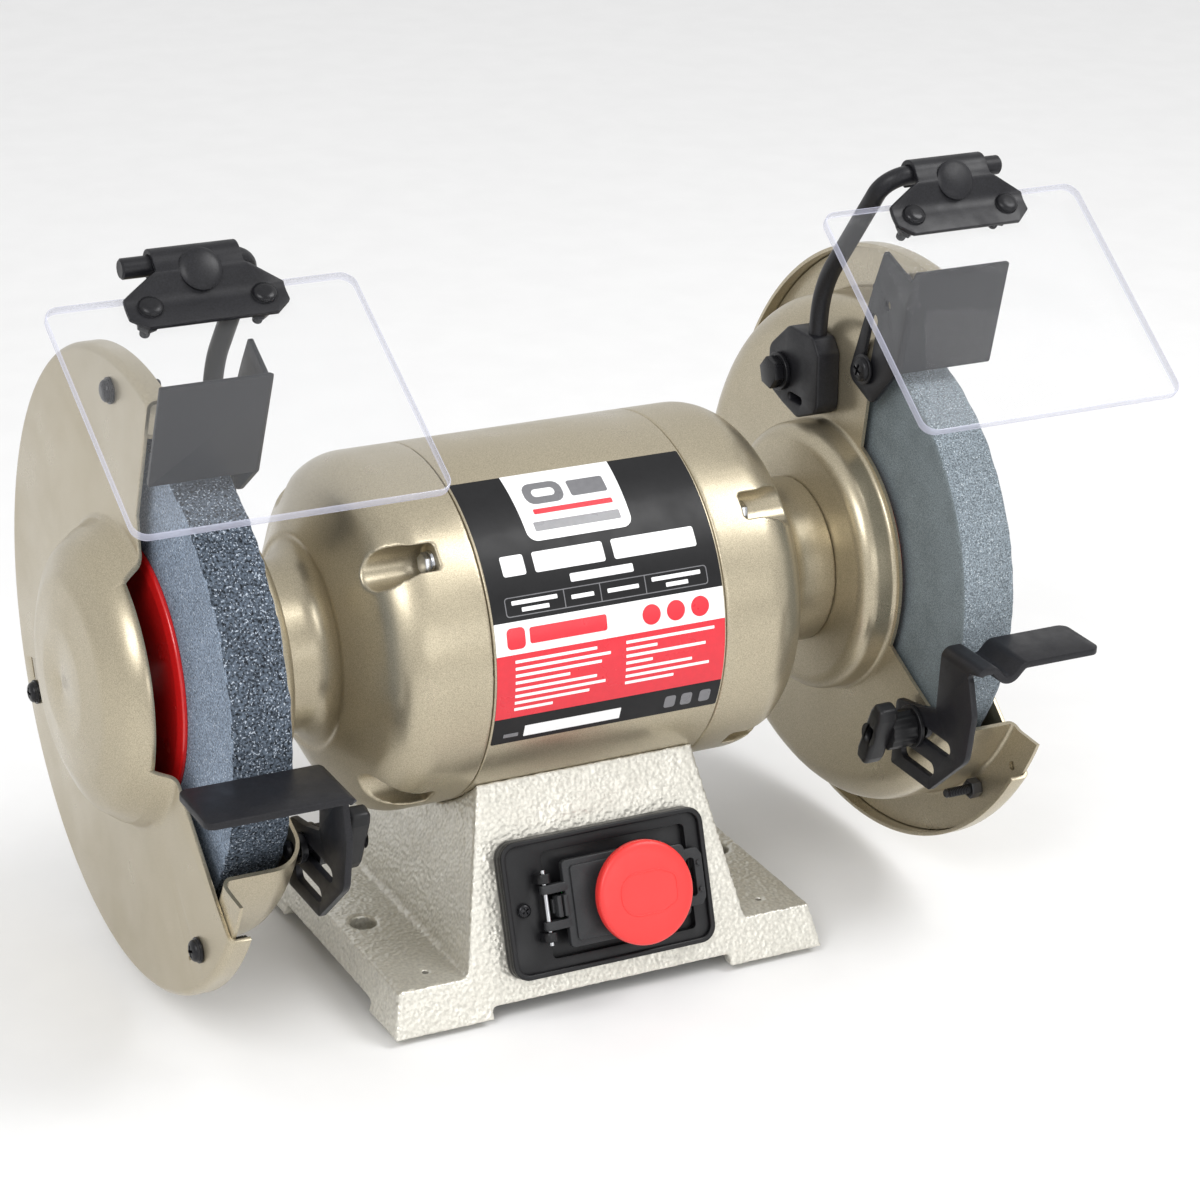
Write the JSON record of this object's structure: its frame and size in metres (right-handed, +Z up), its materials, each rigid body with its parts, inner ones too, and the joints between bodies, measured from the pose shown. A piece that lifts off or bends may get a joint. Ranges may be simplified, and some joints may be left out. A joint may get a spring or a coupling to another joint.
{
  "type": "bench grinder",
  "caption": "Double ended bench grinder on a pedestal base, with guards, tool rests, spark arrestors and clear eye shields.",
  "frame": {"origin": "on the bench under the middle of the shaft, at the bottom of the rubber feet", "axes": "+X along the shaft to the operator's right, +Y away from the operator, +Z up"},
  "size_m": [0.445, 0.2621, 0.3234],
  "materials": {
    "hammered_casting": "hammered silver paint over a grey casting",
    "satin_beige_paint": "satin metallic champagne paint",
    "satin_black_steel": "satin black coating",
    "bright_steel": "turned and brushed",
    "lamination_steel": "stacked laminations",
    "copper_winding": "enamelled copper wire",
    "red_flange_paint": "gloss red paint",
    "grinding_stone": "open bonded abrasive grain",
    "stone_bush": "moulded",
    "rubber_black": "moulded rubber",
    "clear_shield": "clear polycarbonate with polished edges",
    "switch_plastic": "moulded with a fine grain",
    "stop_red": "moulded salmon red",
    "start_green": "moulded green",
    "label_film": "printed film in plain bands",
    "capacitor_case": "drawn can"
  },
  "bodies": {
    "stand": {"base_casting": "hammered_casting", "bottom_plate": "bright_steel", "rubber_feet": "rubber_black", "foot_screws": "bright_steel", "motor_shell": "satin_beige_paint", "stator_core": "lamination_steel", "stator_windings": "copper_winding", "end_bell_left": "satin_beige_paint", "end_bell_right": "satin_beige_paint", "housing_bolts": "bright_steel", "label_plate": "label_film", "capacitor": "capacitor_case", "cable_gland": "rubber_black", "bearing_outer_rings": "bright_steel", "inner_guard_left": "satin_beige_paint", "inner_guard_right": "satin_beige_paint", "outer_cover_left": "satin_beige_paint", "outer_cover_right": "satin_beige_paint", "cover_screws": "satin_black_steel", "cover_nuts": "satin_black_steel", "guard_screws": "bright_steel", "arm_bolts": "satin_black_steel", "spark_bolts": "satin_black_steel", "rest_bolts": "satin_black_steel", "switch_box": "switch_plastic", "switch_body": "switch_plastic", "switch_screws": "bright_steel", "flap_pin": "bright_steel"},
    "rotor": {"shaft": "bright_steel", "rotor_core": "lamination_steel", "bearing_inner_rings": "bright_steel", "bearing_balls": "bright_steel", "wheel_left": "grinding_stone", "wheel_right": "grinding_stone", "wheel_bushes": "stone_bush", "inner_flanges": "red_flange_paint", "outer_flanges": "red_flange_paint", "shaft_nuts": "bright_steel"},
    "start_button": {"start_button": "start_green"},
    "stop_button": {"stop_button": "stop_red"},
    "switch_flap": {"switch_flap": "switch_plastic"},
    "stop_paddle": {"stop_paddle": "stop_red"},
    "tool_rest_left": {"tool_rest_left": "satin_black_steel"},
    "rest_knob_left": {"rest_knob_left": "switch_plastic"},
    "spark_arrestor_left": {"spark_arrestor_left": "satin_black_steel"},
    "shield_arm_left": {"shield_arm_left": "satin_black_steel"},
    "eye_shield_left": {"shield_clamp_left": "satin_black_steel", "eye_shield_left": "clear_shield", "shield_screws_left": "satin_black_steel"},
    "tool_rest_right": {"tool_rest_right": "satin_black_steel"},
    "rest_knob_right": {"rest_knob_right": "switch_plastic"},
    "spark_arrestor_right": {"spark_arrestor_right": "satin_black_steel"},
    "shield_arm_right": {"shield_arm_right": "satin_black_steel"},
    "eye_shield_right": {"shield_clamp_right": "satin_black_steel", "eye_shield_right": "clear_shield", "shield_screws_right": "satin_black_steel"}
  },
  "joints": [
    {"name": "rotor_spin", "type": "hinge", "parent": "stand", "child": "rotor", "pos_m": [0, 0, 0.142], "axis": [1, 0, 0], "continuous": true},
    {"name": "rest_slide_left", "type": "slide", "parent": "stand", "child": "tool_rest_left", "axis": [0, 1, 0], "range_m": [-0.007, 0.0015]},
    {"name": "knob_turn_left", "type": "hinge", "parent": "stand", "child": "rest_knob_left", "pos_m": [-0.128, -0.088, 0.099], "axis": [-1, 0, 0], "range_deg": [0, 360]},
    {"name": "spark_slide_left", "type": "slide", "parent": "stand", "child": "spark_arrestor_left", "axis": [0, -0.3256, 0.9455], "range_m": [-0.006, 0]},
    {"name": "arm_tilt_left", "type": "hinge", "parent": "stand", "child": "shield_arm_left", "pos_m": [-0.1365, 0.0256, 0.2176], "axis": [1, 0, 0], "range_deg": [-20, 0]},
    {"name": "shield_tilt_left", "type": "hinge", "parent": "shield_arm_left", "child": "eye_shield_left", "pos_m": [-0.16, -0.033, 0.317], "axis": [1, 0, 0], "range_deg": [-60, 3]},
    {"name": "rest_slide_right", "type": "slide", "parent": "stand", "child": "tool_rest_right", "axis": [0, 1, 0], "range_m": [-0.007, 0.0015]},
    {"name": "knob_turn_right", "type": "hinge", "parent": "stand", "child": "rest_knob_right", "pos_m": [0.128, -0.088, 0.099], "axis": [1, 0, 0], "range_deg": [0, 360]},
    {"name": "spark_slide_right", "type": "slide", "parent": "stand", "child": "spark_arrestor_right", "axis": [0, -0.1564, 0.9877], "range_m": [-0.006, 0.0045]},
    {"name": "arm_tilt_right", "type": "hinge", "parent": "stand", "child": "shield_arm_right", "pos_m": [0.1365, 0.0256, 0.2176], "axis": [1, 0, 0], "range_deg": [-20, 0]},
    {"name": "shield_tilt_right", "type": "hinge", "parent": "shield_arm_right", "child": "eye_shield_right", "pos_m": [0.16, -0.033, 0.317], "axis": [1, 0, 0], "range_deg": [-60, 3]},
    {"name": "flap_hinge", "type": "hinge", "parent": "stand", "child": "switch_flap", "pos_m": [-0.03, -0.08326, 0.04645], "axis": [0, -0.3593, -0.9332], "range_deg": [0, 100]},
    {"name": "paddle_press", "type": "slide", "parent": "switch_flap", "child": "stop_paddle", "axis": [0, 0.9332, -0.3593], "range_m": [0, 0.003], "stiffness_N_per_m": 600, "springref_m": -0.002},
    {"name": "start_press", "type": "slide", "parent": "stand", "child": "start_button", "axis": [0, 0.9332, -0.3593], "range_m": [0, 0.003], "stiffness_N_per_m": 500, "springref_m": -0.001},
    {"name": "stop_press", "type": "slide", "parent": "stand", "child": "stop_button", "axis": [0, 0.9332, -0.3593], "range_m": [0, 0.003], "stiffness_N_per_m": 500, "springref_m": -0.001}
  ],
  "couplings": [
    {"joint": "stop_press", "follows": "paddle_press", "ratio": 1}
  ]
}
